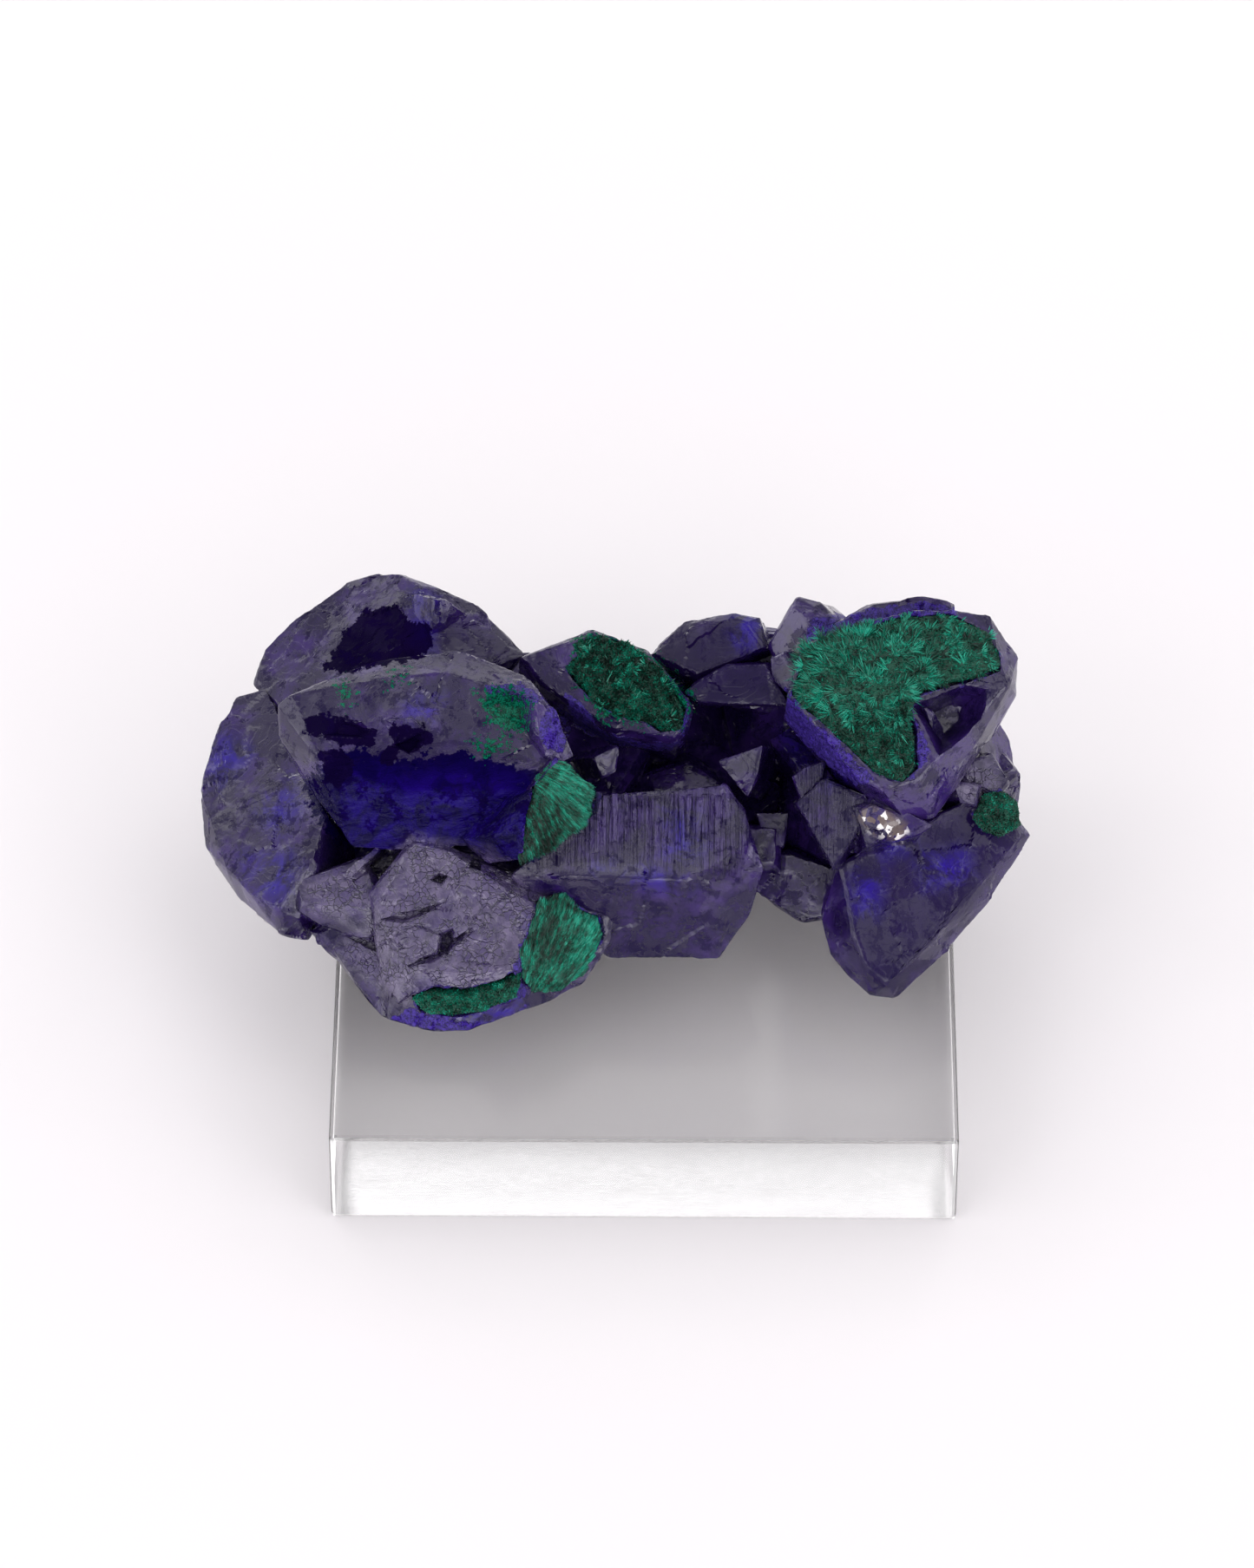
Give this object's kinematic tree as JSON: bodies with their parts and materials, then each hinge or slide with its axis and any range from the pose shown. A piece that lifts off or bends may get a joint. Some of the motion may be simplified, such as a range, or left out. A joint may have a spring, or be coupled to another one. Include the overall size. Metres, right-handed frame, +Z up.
{
  "type": "azurite and malachite specimen on clear block",
  "caption": "Cluster of dark blue tabular azurite crystals with velvety green malachite patches, resting on a square clear acrylic display block.",
  "frame": {"origin": "centre of the clear block's underside, on the surface it stands on", "axes": "+Z up, -Y towards the viewer of the picture, +X to the viewer's right, along the cluster's length"},
  "size_m": [0.0685, 0.0511, 0.0344],
  "materials": {
    "azurite": "glassy crystal faces, dark blue to nearly black",
    "malachite": "velvety, fine radiating fibres",
    "clear_acrylic": "polished clear acrylic"
  },
  "bodies": {
    "root": {"azurite_crystals": "azurite", "malachite_upper_right": "malachite", "malachite_rear": "malachite", "malachite_middle": "malachite", "malachite_lower_left": "malachite", "malachite_band": "malachite", "malachite_far_right": "malachite", "acrylic_block": "clear_acrylic"}
  },
  "joints": []
}
